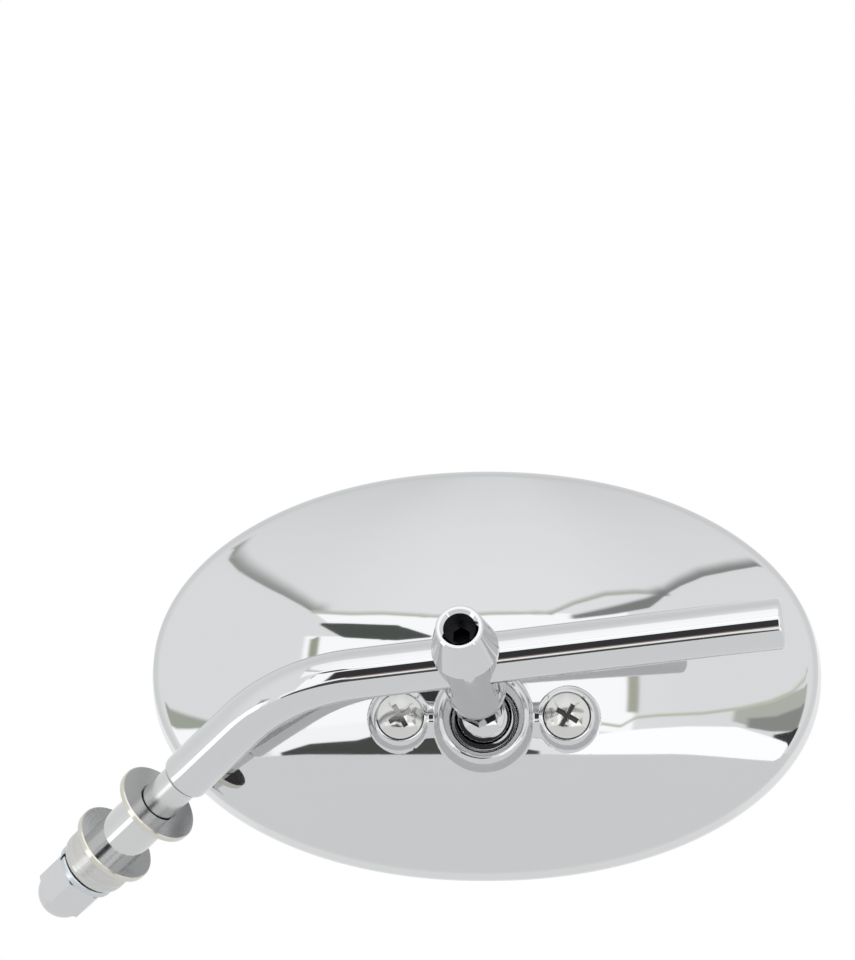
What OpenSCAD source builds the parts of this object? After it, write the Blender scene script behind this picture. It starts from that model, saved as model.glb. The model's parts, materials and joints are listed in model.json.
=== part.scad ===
// Oval motorcycle mirror on a bent stem, in millimetres.
// X runs along the glass's long axis, Z is up and the glass faces +Y.
// The origin is on the shank's axis, in the middle of the spacer sleeve that a bracket grips.

/* [Head] */
// Width of the head over its lip
head_w = 171.5; // [140:0.5:200]
// Height of the head over its lip
head_h = 105; // [90:0.5:130]
// Power of the oval outline, where 2 is a true ellipse
oval_power = 2.08; // [2:0.01:2.4]
// Depth of the domed back
dome_d = 20; // [16:0.5:26]
// Depth from the dome's crest to the lip at the two ends
lip_end_d = 39; // [36:0.5:46]
// Depth from the dome's crest to the lip at the middle of the long sides
lip_mid_d = 33; // [31:0.5:36]
// How far the side wall leans in on its way back
wall_lean = 1.5; // [0.5:0.1:3]
// Share of the dome that is left before the rounded corner starts
dome_share = 0.9; // [0.85:0.01:0.94]
// How far the rounded corner runs down the side wall
corner_run = 7; // [4:0.5:9]
// Thickness of the rolled lip
lip_t = 3; // [2.4:0.1:4]
// Thickness of the dome's wall
shell_t = 2.4; // [1.8:0.1:3]
// How far the ball socket lies below the middle of the oval
socket_drop = 13.1; // [8:0.1:16]

/* [Glass] */
// Depth from the dome's crest to the ledge behind the glass
ledge_d = 24; // [23:0.5:25]
// Width of the ledge
ledge_w = 2; // [1.5:0.1:3]
// Thickness of the glass
glass_t = 3; // [2:0.1:4]
// Thickness of the gasket between the glass's edge and the shell
gasket_w = 1; // [0.6:0.1:1.6]
// How far the gasket stands in front of the glass
gasket_lip = 0.5; // [0.3:0.1:1]
// Thickness of the foam pad behind the glass
pad_t = 2.4; // [1.6:0.1:2.6]
// Clearance round the foam pad
pad_gap = 1; // [0.5:0.1:2]

/* [Boss] */
// Radius of the rim round the ball socket
rim_r = 10.4; // [10.3:0.1:11.5]
// Width of the flat top of that rim
rim_w = 1.2; // [0.8:0.1:2]
// How far the rim stands behind the dome's crest
rim_out = 1.3; // [0.8:0.1:2]
// Radius of the socket's mouth, at the foot of its funnel
mouth_r = 7; // [6.8:0.1:7.3]
// Depth of the funnel from the rim to the mouth
funnel_d = 2.8; // [2.4:0.1:3]
// Distance between the two lobes that hold the screws
screw_spacing = 41.7; // [39:0.1:46]
// Radius of the flat top of a lobe
lobe_r = 7; // [6.6:0.1:8]
// Depth from the dome's crest to the top of a lobe
lobe_top_d = 0.4; // [0:0.1:1]
// Slope of the flanks of the boss and its lobes
flank_deg = 38; // [30:1:50]
// How far the bridge between the lobes lies below their tops
bridge_drop = 0.7; // [0.4:0.1:1.2]
// Depth from the dome's crest to the foot of a screw post
post_d = 8; // [6:0.5:10]
// Radius of a screw post
post_r = 5; // [4.5:0.1:6]

/* [Ball joint] */
// Diameter of the ball
ball_dia = 15.8; // [15.6:0.1:16]
// Running gap between the ball and what is round it
ball_gap = 0.3; // [0.2:0.05:0.35]
// Thickness of the moulded liner
liner_t = 1.4; // [1:0.1:1.8]
// Half angle of the liner's cap
liner_deg = 62; // [50:1:66]
// Radius of the pressure cup
cup_r = 12; // [11.5:0.1:13]
// Thickness of the cup's floor
cup_floor = 1.8; // [1.2:0.1:2.5]
// Depth of the cup's rim behind the ball's middle
cup_rim_d = 3.4; // [3:0.1:4.5]
// Height of the dished spring washer
spring_h = 1.6; // [1.2:0.1:2]
// Sheet thickness of the spring washer
spring_t = 0.8; // [0.6:0.1:1]
// Thickness of the retainer plate
plate_t = 2; // [1.5:0.1:2.5]
// Width of the retainer plate at its screws
plate_w = 14; // [10:0.5:18]

/* [Screws] */
// Diameter of a screw's head
head_dia = 11.3; // [10.4:0.1:12]
// Height of a screw's head
screw_head_h = 3; // [2.4:0.1:3.6]
// Depth of the seat that the head sits in
seat_d = 1.2; // [0.8:0.1:1.6]
// Clearance round the head in its seat
seat_gap = 0.4; // [0.2:0.05:0.8]
// Diameter of a screw's thread
screw_dia = 4.8; // [4:0.1:5.4]
// Length of an arm of the cross recess
cross_l = 3.1; // [2.6:0.1:3.6]
// Width of an arm of the cross recess
cross_w = 1.3; // [1:0.1:1.6]
// Depth of the cross recess
cross_d = 2.2; // [1.6:0.1:2.4]
// How far the two crosses are turned apart from the diagonal
cross_turn = 15; // [0:1:40]

/* [Ball stud] */
// Radius of the stud's neck
neck_r = 4.4; // [3.8:0.1:4.6]
// Distance from the ball's middle to the hexagon
hex_at = 8.8; // [8.7:0.1:10]
// Size of the stud's hexagon across its flats
stud_af = 11.1; // [10:0.1:11.4]
// Length of the stud's hexagon
stud_hex_l = 6.8; // [6:0.1:9]
// Diameter of the stud's thread
stud_dia = 8; // [7:0.1:8.4]
// Length of the stud's thread beyond the lock washer
stud_l = 11.4; // [9:0.1:13]

/* [Clamp] */
// Diameter of the clamp at the mirror end
clamp_end_dia = 14.8; // [14:0.1:15.6]
// Largest diameter of the clamp, where its taper starts
clamp_dia = 16.6; // [16:0.1:18]
// Diameter of the clamp's nose
nose_dia = 11.8; // [11:0.1:13]
// Distance from the mirror end to the rod's axis
clamp_bore_at = 20.3; // [20:0.1:24]
// Distance from the mirror end to the start of the taper
clamp_taper_at = 28.5; // [27.5:0.1:32]
// Length of the whole clamp
clamp_l = 41.4; // [38:0.1:46]
// Diameter of the set screw
set_dia = 8; // [7:0.1:8.4]
// Length of the set screw
set_l = 9; // [7:0.1:10]
// Size of the set screw's socket across its flats
set_socket = 4; // [3:0.1:5]
// Width of the chamfers on the clamp's turned edges
clamp_chamfer = 0.8; // [0.5:0.1:1.2]

/* [Stem] */
// Diameter of the rod
rod_dia = 12.7; // [12.3:0.1:13]
// Radial clearance of the rod in the clamp
rod_fit = 0.05; // [0.02:0.01:0.1]
// Length of the rod from the corner of its bend to its free end
rod_l = 123; // [100:0.5:150]
// Distance from the corner of the bend to the clamp
clamp_at = 45.3; // [42:0.1:60]
// Angle of the bend
bend_deg = 44.5; // [30:0.5:60]
// Radius of the bend at the rod's axis
bend_r = 42; // [30:1:48]
// Length from the corner of the bend to the shoulder
shoulder_l = 42.6; // [40:0.1:60]
// Radius of the rounded shoulder
shoulder_r = 2; // [1:0.1:2.5]
// Chamfer at the rod's free end
rod_chamfer = 1.2; // [0.5:0.1:2]
// Diameter of the shank
shank_dia = 10; // [9:0.1:10.4]

/* [Fasteners] */
// Length of bare shank between the shoulder and the upper washer
bare_l = 10.2; // [6:0.1:16]
// Outer diameter of the large washers
washer_dia = 21.8; // [20:0.1:24]
// Thickness of the large washers
washer_t = 1.7; // [1.4:0.1:2.4]
// Radial clearance of the washers on the shank
washer_gap = 0.35; // [0.2:0.05:0.6]
// Outer diameter of the spacer sleeve
sleeve_dia = 13.2; // [12.8:0.1:14]
// Length of the spacer sleeve
sleeve_l = 16.4; // [12:0.1:24]
// Radial clearance of the sleeve on the shank
sleeve_fit = 0.08; // [0.02:0.01:0.1]
// Outer diameter of the collar
collar_dia = 17.8; // [17:0.1:19]
// Length of the collar
collar_l = 9.6; // [7:0.1:12]
// Radius of the collar's rounded edge
collar_r = 2.4; // [1.5:0.1:3]
// Number of turned grooves round the collar
grooves = 5; // [3:1:6]
// Depth of a turned groove
groove_d = 0.25; // [0.1:0.05:0.4]
// Width of a turned groove
groove_w = 0.35; // [0.2:0.05:0.5]
// Outer diameter of the stem's lock washer
lock_dia = 16.2; // [15:0.1:18]
// Thickness of the stem's lock washer
lock_t = 1.8; // [1.4:0.1:2.4]
// Outer diameter of the stud's lock washer
stud_lock_dia = 13.8; // [12.4:0.1:14.4]
// Thickness of the stud's lock washer
stud_lock_t = 1.7; // [1.4:0.1:2.4]
// Radial clearance of a lock washer on its thread
lock_gap = 0.2; // [0.1:0.05:0.4]
// Width of the split in a lock washer
split_w = 1; // [0.5:0.1:1.5]
// Slant of the split
split_lean = 20; // [0:5:35]
// Place of the split round the stem's lock washer
stem_split_at = 250; // [0:5:360]
// Place of the split round the stud's lock washer
stud_split_at = 200; // [0:5:360]
// Size of the acorn nut across its flats
nut_af = 14; // [13:0.1:15]
// Length of the nut's hexagon
nut_hex_l = 9.5; // [8:0.1:12]
// Diameter of the nut's dome
dome_dia = 13.2; // [12.6:0.1:13.8]
// Thickness of the nut's dome over the shank's end
nut_crown = 3; // [2:0.1:4]
// Space between the shank's end and the bottom of the nut's hole
nut_space = 0.3; // [0.1:0.1:0.6]

/* [Pose at rest] */
// Rise of the rod towards its free end
rod_rise = 6.4; // [0:0.1:12]
// Swing of the rod's free end away from the head
rod_swing = 3; // [0:0.1:8]
// Roll of the bend about the rod, from level
bend_roll = 38.6; // [25:0.1:45]
// Rise of the clamp's nose, turned about the rod
clamp_rise = 17; // [8:0.1:18]

/* [Hidden] */
$fn = 96;
steps = 64;
far = 200;
hair = 0.01;
thread_fit = 0.02;
face_gap = 0.02;

// Directions at rest
flat_dir = [cos(rod_swing), -sin(rod_swing), 0];
rod_dir = cos(rod_rise) * flat_dir + [0, 0, sin(rod_rise)];
level_dir = [-sin(rod_swing), -cos(rod_swing), 0];
lift_dir = cross(level_dir, rod_dir);
clamp_dir = cos(clamp_rise) * level_dir + sin(clamp_rise) * lift_dir;
roll_dir = cos(bend_roll) * level_dir + sin(bend_roll) * lift_dir;
shank_dir = cos(bend_deg) * rod_dir + sin(bend_deg) * roll_dir;

// Places along the shank, upwards from the middle of the sleeve
upper_at = sleeve_l / 2;
shoulder_at = upper_at + washer_t + bare_l;
corner_at = shoulder_at + shoulder_l;
lower_at = -sleeve_l / 2 - washer_t;
collar_at = lower_at - collar_l;
lock_at = collar_at - lock_t - face_gap;
nut_end_at = lock_at - nut_hex_l;
shank_end_at = nut_end_at - dome_dia / 2 + nut_crown;

// Places in space
corner_pos = corner_at * shank_dir;
rod_pos = corner_pos + clamp_at * rod_dir;
clamp_end_at = hex_at + stud_hex_l + stud_lock_t + face_gap;
ball_pos = rod_pos - (clamp_end_at + clamp_bore_at) * clamp_dir;
bend_run = bend_r * tan(bend_deg / 2);

// Depths in the head, counted from the dome's crest towards the glass
mouth_d = funnel_d - rim_out;
socket_r = ball_dia / 2 + ball_gap;
ball_d = mouth_d + sqrt(pow(socket_r, 2) - pow(mouth_r, 2));
liner_in = ball_dia / 2 + ball_gap;
liner_out = liner_in + liner_t;
cup_in = liner_out + ball_gap;
cup_end_d = ball_d + cup_in + cup_floor;
plate_d = cup_end_d + spring_h;
screw_end_d = plate_d + plate_t + hair;
head_pos = ball_pos + [0, -ball_d, socket_drop];
screw_at = screw_spacing / 2;

// Half sizes of the ovals, from the lip inwards
half_w = head_w / 2;
half_h = head_h / 2;
glass_inset = lip_t + gasket_w;
ledge_inset = lip_t + ledge_w;

// Turns that bring the Z axis onto a direction
function aim(v) = [0, acos(v.z / norm(v)), atan2(v.y, v.x)];

// Turns that bring the X, Y and Z axes onto three square directions
function square_to(ex, ey, ez) = [atan2(ey.z, ez.z), -asin(ex.z), atan2(ex.y, ex.x)];

// A point of the oval outline, set in from the lip
function oval(inset, t) = [
    (half_w - inset) * sign(cos(t)) * pow(abs(cos(t)), 2 / oval_power),
    (half_h - inset) * sign(sin(t)) * pow(abs(sin(t)), 2 / oval_power)
];

// Where a point lies between the dome's middle and its edge
function dome_part(p) = pow(
    pow(abs(p.x) / (half_w - wall_lean), oval_power)
    + pow(abs(p.y) / (half_h - wall_lean), oval_power), 1 / oval_power);
function dome_depth(p) = dome_d * pow(dome_part(p), 2);
function lip_depth(t) = lip_mid_d + (lip_end_d - lip_mid_d) * pow(oval(0, t).x / half_w, 2);

// A point of the head, from its place on the oval and its depth
function at_depth(p, d) = [p.x, d, p.y];
function ring(inset, depth) = [for (i = [0:steps - 1]) at_depth(oval(inset, angle(i)), depth)];
function angle(i) = 360 * i / steps;

// One ring of the dome, drawn as a share of the way from the socket to the dome's edge
socket_mid = [0, -socket_drop];
function dome_point(share, inset, t) = socket_mid + share * (oval(inset, t) - socket_mid);
function dome_ring(share, inset, extra) = [
    for (i = [0:steps - 1])
        let (p = dome_point(share, inset, angle(i)))
        at_depth(p, dome_depth(p) + extra)
];

// The rounded corner is a curve pulled towards the edge where dome and wall would meet
function pulled(a, b, c, s) = pow(1 - s, 2) * a + 2 * s * (1 - s) * b + pow(s, 2) * c;
function wall_point(t, drop) =
    let (
        top = at_depth(oval(wall_lean, t), dome_d),
        foot = at_depth(oval(0, t), lip_depth(t) - lip_t / 2)
    )
    top + drop * (foot - top) / norm(foot - top);
function corner_ring(s) = [
    for (i = [0:steps - 1])
        let (
            t = angle(i),
            p = dome_point(dome_share, wall_lean, t),
            start = at_depth(p, dome_depth(p)),
            edge = at_depth(oval(wall_lean, t), dome_d * (1 - pow(1 - dome_share, 2)))
        )
        pulled(start, edge, wall_point(t, corner_run), s)
];

// The lip is a half round between the outer and the inner wall
function lip_ring(turn) = [
    for (i = [0:steps - 1])
        let (
            t = angle(i),
            inset = lip_t / 2 * (1 - cos(turn)),
            depth = lip_depth(t) - lip_t / 2 * (1 - sin(turn))
        )
        at_depth(oval(inset, t), depth)
];

// Closed skin through a list of rings, with a point at each end
module skin(first, rings, last) {
    count = len(rings);
    points = concat([first], [for (r = rings) each r], [last]);
    end = len(points) - 1;
    function id(r, i) = 1 + r * steps + i % steps;
    start_fan = [for (i = [0:steps - 1]) [0, id(0, i + 1), id(0, i)]];
    end_fan = [for (i = [0:steps - 1]) [end, id(count - 1, i), id(count - 1, i + 1)]];
    sides = [
        for (r = [0:count - 2])
            for (i = [0:steps - 1])
                each [
                    [id(r, i), id(r, i + 1), id(r + 1, i + 1)],
                    [id(r, i), id(r + 1, i + 1), id(r + 1, i)]
                ]
    ];
    polyhedron(points, concat(start_fan, sides, end_fan), convexity = 6);
}

// The bowl runs over the dome, round the corner, over the lip and back inside
dome_rings = 9;
corner_rings = 6;
lip_rings = 4;
inner_rings = 5;
module bowl() {
    outer = [for (i = [1:dome_rings]) dome_ring(dome_share * i / dome_rings, wall_lean, 0)];
    corner = [for (i = [1:corner_rings]) corner_ring(i / corner_rings)];
    lip = [for (i = [0:lip_rings]) lip_ring(180 * i / lip_rings)];
    ledge = [ring(lip_t, ledge_d), ring(ledge_inset, ledge_d)];
    inner = [for (i = [0:inner_rings - 1]) dome_ring(1 - i / inner_rings, ledge_inset, shell_t)];
    crest = dome_depth(socket_mid);
    skin(
        at_depth(socket_mid, crest),
        concat(outer, corner, lip, ledge, inner),
        at_depth(socket_mid, crest + shell_t)
    );
}

// Frames in which the pieces are drawn
module on_head() translate(head_pos) children();
module on_socket(x) on_head() translate([x, 0, -socket_drop]) rotate([90, 0, 0]) children();
module on_stud(d) translate(ball_pos + d * clamp_dir) rotate(aim(clamp_dir)) children();
module on_shank(d) translate(d * shank_dir) rotate(aim(shank_dir)) children();
module on_rod(d) translate(corner_pos + d * rod_dir) rotate(aim(rod_dir)) children();

module ring_of(outer_r, inner_r, h) {
    difference() {
        cylinder(r = outer_r, h = h);
        translate([0, 0, -1])
            cylinder(r = inner_r, h = h + 2);
    }
}

// Hexagon with its corners turned off at the chosen ends
module hexagon(af, h, lower_cut, upper_cut) {
    corner = af / sqrt(3);
    slope = 0.5;
    cut = (corner - af / 2) * slope;
    intersection() {
        cylinder(r = corner, h = h, $fn = 6);
        rotate_extrude()
            polygon([
                [0, 0],
                [lower_cut ? af / 2 : corner + 1, 0],
                [corner + 1, lower_cut ? cut + slope : 0],
                [corner + 1, h - (upper_cut ? cut + slope : 0)],
                [upper_cut ? af / 2 : corner + 1, h],
                [0, h]
            ]);
    }
}

// Plain washer with a hair of chamfer on its outer edges
module flat_washer(dia, hole_r, t) {
    edge = 0.25;
    rotate_extrude()
        polygon([
            [hole_r, 0], [dia / 2 - edge, 0], [dia / 2, edge],
            [dia / 2, t - edge], [dia / 2 - edge, t], [hole_r, t]
        ]);
}

// Spring washer cut through by a slanted split
module split_washer(dia, hole_r, t) {
    difference() {
        flat_washer(dia, hole_r, t);
        rotate([split_lean, 0, 0])
            translate([dia / 4, 0, t / 2])
                cube([dia / 2 + 1, split_w, 4 * t], center = true);
    }
}

// Turned pad with a flat top and sloping flanks, drawn from its top inwards
module pad(top_r, run) {
    edge = 0.6;
    foot = run * tan(90 - flank_deg) + top_r;
    rotate_extrude()
        polygon([
            [0, 0], [top_r - edge, 0], [top_r, -edge * tan(flank_deg) / 2],
            [foot, -run], [0, -run]
        ]);
}

module boss() {
    pad_run = 4.2;
    lobe_foot_d = dome_depth([screw_at, socket_drop]);
    on_socket(0)
        translate([0, 0, rim_out])
            pad(rim_r + rim_w, pad_run);
    for (side = [-1, 1]) {
        on_socket(side * screw_at)
            translate([0, 0, -lobe_top_d])
                pad(lobe_r, pad_run);
        on_socket(side * screw_at)
            translate([0, 0, -post_d])
                cylinder(r = post_r, h = post_d - lobe_foot_d - shell_t / 2);
    }
    // Low bridge between the lobes and the rim
    bridge_h = lobe_foot_d + shell_t / 2 - lobe_top_d - bridge_drop;
    on_socket(0)
        translate([-screw_at, -lobe_r, -lobe_foot_d - shell_t / 2])
            cube([screw_spacing, 2 * lobe_r, bridge_h]);
}

module housing() color("silver") {
    difference() {
        union() {
            on_head() bowl();
            boss();
        }
        // Funnel, mouth and ball socket
        on_socket(0)
            rotate_extrude()
                polygon([
                    [0, rim_out + 1],
                    [rim_r + 1, rim_out + 1],
                    [rim_r, rim_out],
                    [mouth_r, rim_out - funnel_d],
                    [mouth_r, -ball_d],
                    [0, -ball_d]
                ]);
        on_socket(0)
            translate([0, 0, -ball_d])
                sphere(r = socket_r);
        for (side = [-1, 1]) {
            on_socket(side * screw_at)
                translate([0, 0, -lobe_top_d - seat_d])
                    cylinder(d = head_dia + 2 * seat_gap, h = seat_d + 1);
            on_socket(side * screw_at)
                translate([0, 0, -post_d - 1])
                    cylinder(d = screw_dia + 2 * thread_fit, h = post_d + 1);
        }
    }
}

// Flat oval plate between two depths
module oval_plate(inset, from_d, to_d) {
    translate([0, to_d, 0])
        rotate([90, 0, 0])
            linear_extrude(to_d - from_d)
                polygon([for (i = [0:steps - 1]) oval(inset, angle(i))]);
}

module glass() color("lightsteelblue")
    on_head()
        oval_plate(glass_inset, ledge_d, ledge_d + glass_t);

module glass_gasket() color("black")
    on_head()
        difference() {
            oval_plate(lip_t, ledge_d, ledge_d + glass_t + gasket_lip);
            oval_plate(glass_inset, ledge_d - 1, ledge_d + glass_t + gasket_lip + 1);
        }

module backing_pad() color("dimgray")
    on_head()
        oval_plate(ledge_inset + pad_gap, ledge_d - pad_t, ledge_d);

// Moulded cap that hugs the ball from inside the head
module ball_liner() color("ivory")
    on_socket(0)
        translate([0, 0, -ball_d])
            rotate([180, 0, 0])
                difference() {
                    sphere(r = liner_out);
                    sphere(r = liner_in);
                    translate([0, 0, liner_out * cos(liner_deg) - far])
                        cylinder(r = far, h = far);
                }

module pressure_cup() color("gray")
    on_socket(0)
        translate([0, 0, -cup_end_d])
            difference() {
                cylinder(r = cup_r, h = cup_end_d - ball_d - cup_rim_d);
                translate([0, 0, cup_end_d - ball_d])
                    sphere(r = cup_in);
            }

module spring_washer() color("darkgray")
    on_socket(0)
        translate([0, 0, -plate_d])
            rotate_extrude()
                polygon([
                    [cup_r / 2, spring_h - spring_t], [cup_r - 1, 0],
                    [cup_r - 1, spring_t], [cup_r / 2, spring_h]
                ]);

module retainer_plate() color("gainsboro")
    on_socket(0)
        translate([0, 0, -plate_d - plate_t])
            difference() {
                union() {
                    cylinder(r = cup_r, h = plate_t);
                    translate([-screw_at, -plate_w / 2, 0])
                        cube([screw_spacing, plate_w, plate_t]);
                    for (side = [-1, 1])
                        translate([side * screw_at, 0, 0])
                            cylinder(d = plate_w, h = plate_t);
                }
                for (side = [-1, 1])
                    translate([side * screw_at, 0, -1])
                        cylinder(d = screw_dia + 2 * thread_fit, h = plate_t + 2);
            }

// Cross-recessed screw, drawn with its head's underside at the seat
module cross_screw(side) {
    top_r = head_dia / 2;
    edge_h = 0.9;
    crown_r = (pow(top_r, 2) + pow(screw_head_h - edge_h, 2)) / (2 * (screw_head_h - edge_h));
    on_socket(side * screw_at)
        translate([0, 0, -lobe_top_d - seat_d])
            rotate([0, 0, 45 + side * cross_turn])
                difference() {
                    union() {
                        cylinder(r = top_r, h = edge_h);
                        intersection() {
                            translate([0, 0, screw_head_h - crown_r])
                                sphere(r = crown_r);
                            cylinder(r = top_r, h = screw_head_h);
                        }
                        translate([0, 0, lobe_top_d + seat_d - screw_end_d])
                            cylinder(d = screw_dia, h = screw_end_d - lobe_top_d - seat_d + hair);
                    }
                    for (a = [0, 90])
                        rotate([0, 0, a])
                            translate([-cross_l, -cross_w / 2, screw_head_h - cross_d])
                                cube([2 * cross_l, cross_w, cross_d + 1]);
                }
}
module screw_left() color("lightgray") cross_screw(-1);
module screw_right() color("lightgray") cross_screw(1);

module ball_stud() color("silver")
    on_stud(0) {
        sphere(d = ball_dia);
        cylinder(r = neck_r, h = hex_at);
        translate([0, 0, hex_at])
            hexagon(stud_af, stud_hex_l, true, false);
        translate([0, 0, hex_at + stud_hex_l - 1])
            cylinder(d = stud_dia, h = stud_lock_t + stud_l + 1);
    }

module stud_lock_washer() color("lightsteelblue")
    on_stud(hex_at + stud_hex_l)
        rotate([0, 0, stud_split_at])
            split_washer(stud_lock_dia, stud_dia / 2 + lock_gap, stud_lock_t);

// Turned barrel that widens to its taper, with the rod's bore across it
module clamp_body() color("silver")
    difference() {
        on_stud(clamp_end_at)
            difference() {
                rotate_extrude()
                    polygon([
                        [0, 0],
                        [clamp_end_dia / 2 - clamp_chamfer, 0],
                        [clamp_end_dia / 2, clamp_chamfer],
                        [clamp_dia / 2, clamp_taper_at],
                        [nose_dia / 2, clamp_l - clamp_chamfer / 2],
                        [nose_dia / 2 - clamp_chamfer / 2, clamp_l],
                        [0, clamp_l]
                    ]);
                translate([0, 0, -1])
                    cylinder(d = stud_dia + 2 * thread_fit, h = clamp_bore_at + 1);
                translate([0, 0, clamp_bore_at])
                    cylinder(d = set_dia + 2 * thread_fit, h = clamp_l);
                translate([0, 0, clamp_l - clamp_chamfer])
                    cylinder(d1 = set_dia, d2 = set_dia + 4 * clamp_chamfer, h = 2 * clamp_chamfer);
            }
        on_rod(clamp_at - far / 2)
            cylinder(r = rod_dia / 2 + rod_fit, h = far);
    }

set_at = clamp_end_at + clamp_bore_at + rod_dia / 2 + rod_fit;
module set_screw() color("black")
    on_stud(set_at)
        difference() {
            cylinder(d = set_dia, h = set_l);
            translate([0, 0, set_l / 2])
                cylinder(r = set_socket / sqrt(3), h = set_l, $fn = 6);
        }

// Bent rod: threaded shank, rounded shoulder, bend and straight arm
module stem() color("silver") {
    toward = (rod_dir - cos(bend_deg) * shank_dir) / sin(bend_deg);
    bend_pos = corner_pos - bend_run * shank_dir + bend_r * toward;
    lap = 0.5;
    lower_l = shoulder_l - bend_run + lap;
    arm_l = rod_l - bend_run + lap;
    on_shank(shank_end_at)
        cylinder(d = shank_dia, h = shoulder_at - shank_end_at + 1);
    on_shank(shoulder_at)
        rotate_extrude()
            union() {
                translate([rod_dia / 2 - shoulder_r, shoulder_r])
                    intersection() {
                        circle(r = shoulder_r);
                        translate([0, -shoulder_r])
                            square(shoulder_r);
                    }
                square([rod_dia / 2 - shoulder_r, lower_l]);
                translate([0, shoulder_r])
                    square([rod_dia / 2, lower_l - shoulder_r]);
            }
    // The bend is a hair thinner, so that its ends lie inside the straight parts
    translate(bend_pos)
        rotate(square_to(-toward, shank_dir, cross(-toward, shank_dir)))
            rotate_extrude(angle = bend_deg)
                translate([bend_r, 0])
                    circle(d = rod_dia - 2 * hair);
    on_rod(bend_run - lap)
        rotate_extrude()
            polygon([
                [0, 0], [rod_dia / 2, 0],
                [rod_dia / 2, arm_l - rod_chamfer],
                [rod_dia / 2 - rod_chamfer, arm_l],
                [0, arm_l]
            ]);
}

module washer_upper() color("darkgray")
    on_shank(upper_at)
        flat_washer(washer_dia, shank_dia / 2 + washer_gap, washer_t);

module spacer_sleeve() color("lightgray")
    on_shank(-sleeve_l / 2)
        ring_of(sleeve_dia / 2, shank_dia / 2 + sleeve_fit, sleeve_l);

module washer_lower() color("darkgray")
    on_shank(lower_at)
        flat_washer(washer_dia, shank_dia / 2 + washer_gap, washer_t);

// Turned collar with a rounded lower edge and fine grooves
module collar() color("gray")
    on_shank(collar_at)
        rotate_extrude()
            difference() {
                union() {
                    translate([collar_dia / 2 - collar_r, collar_r])
                        circle(r = collar_r);
                    square([collar_dia / 2 - collar_r, collar_l]);
                    translate([0, collar_r])
                        square([collar_dia / 2, collar_l - collar_r]);
                }
                square([shank_dia / 2 + sleeve_fit, collar_l]);
                for (i = [1:grooves])
                    translate([
                        collar_dia / 2 - groove_d,
                        collar_r + i * (collar_l - collar_r) / (grooves + 1) - groove_w / 2
                    ])
                        square([1, groove_w]);
            }

module stem_lock_washer() color("lightsteelblue")
    on_shank(lock_at)
        rotate([0, 0, stem_split_at])
            split_washer(lock_dia, shank_dia / 2 + lock_gap, lock_t);

module acorn_nut() color("silver")
    on_shank(nut_end_at)
        difference() {
            union() {
                hexagon(nut_af, nut_hex_l, true, true);
                sphere(d = dome_dia);
            }
            translate([0, 0, shank_end_at - nut_end_at - nut_space])
                cylinder(d = shank_dia + 2 * thread_fit, h = far);
        }

housing();
glass();
glass_gasket();
backing_pad();
ball_liner();
pressure_cup();
spring_washer();
retainer_plate();
screw_left();
screw_right();
ball_stud();
stud_lock_washer();
clamp_body();
set_screw();
stem();
washer_upper();
spacer_sleeve();
washer_lower();
collar();
stem_lock_washer();
acorn_nut();
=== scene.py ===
"""Looks for the oval motorcycle mirror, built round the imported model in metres."""

import json
import math
from functools import reduce

import bpy
import numpy as np
from bpy.props import FloatProperty, FloatVectorProperty, IntProperty, PointerProperty
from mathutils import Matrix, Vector


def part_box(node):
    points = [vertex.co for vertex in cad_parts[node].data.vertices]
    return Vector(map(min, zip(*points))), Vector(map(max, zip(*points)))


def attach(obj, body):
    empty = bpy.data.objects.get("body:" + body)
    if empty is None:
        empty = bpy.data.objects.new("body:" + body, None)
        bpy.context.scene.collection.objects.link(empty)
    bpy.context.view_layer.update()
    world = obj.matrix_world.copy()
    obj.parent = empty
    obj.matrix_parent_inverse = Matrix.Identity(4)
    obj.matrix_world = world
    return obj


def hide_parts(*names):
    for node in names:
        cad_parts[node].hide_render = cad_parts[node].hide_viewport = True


bl_info = {
    "name": "Oval motorcycle mirror",
    "version": (1, 0, 0),
    "blender": (4, 5, 0),
    "location": "View3D > Sidebar > Mirror",
    "description": "Dresses an oval chromed mirror with its stem, ball joint and fasteners",
    "category": "Object",
}

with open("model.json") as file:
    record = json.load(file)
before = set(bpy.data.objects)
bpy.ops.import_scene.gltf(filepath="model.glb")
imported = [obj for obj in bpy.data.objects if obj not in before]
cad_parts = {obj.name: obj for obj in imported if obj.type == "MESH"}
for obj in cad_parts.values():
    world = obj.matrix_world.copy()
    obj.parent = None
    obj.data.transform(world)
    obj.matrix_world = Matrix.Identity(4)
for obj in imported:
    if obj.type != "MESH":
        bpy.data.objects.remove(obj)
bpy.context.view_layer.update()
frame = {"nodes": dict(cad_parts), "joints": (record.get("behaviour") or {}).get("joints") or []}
JOINTS = {joint["name"]: joint for joint in frame["joints"]}
SHANK_DIR = Vector(JOINTS["stem_swivel"]["axis"]).normalized()
ROD_DIR = Vector(JOINTS["clamp_slide"]["axis"]).normalized()
BALL_POS = Vector(JOINTS["stud_turn"]["pos_m"])
GLASS_DIR = Vector((0, 1, 0))


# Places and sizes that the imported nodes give

def spread(node, axis, origin=Vector()):
    """Lowest and highest place of a node's points along an axis."""
    along = [(v.co - origin).dot(axis) for v in frame["nodes"][node].data.vertices]
    return min(along), max(along)


def reach(node, axis, origin=Vector()):
    """Largest distance of a node's points from an axis."""
    best = 0.0
    for v in frame["nodes"][node].data.vertices:
        arm = v.co - origin
        best = max(best, (arm - arm.dot(axis) * axis).length)
    return best


HOUSING_LOW, HOUSING_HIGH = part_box("housing")
GLASS_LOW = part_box("glass")[0]
SCREW_LEFT = sum(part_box("screw_left"), Vector()) / 2
SCREW_RIGHT = sum(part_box("screw_right"), Vector()) / 2


# Sizes and colours that a user would change

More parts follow.
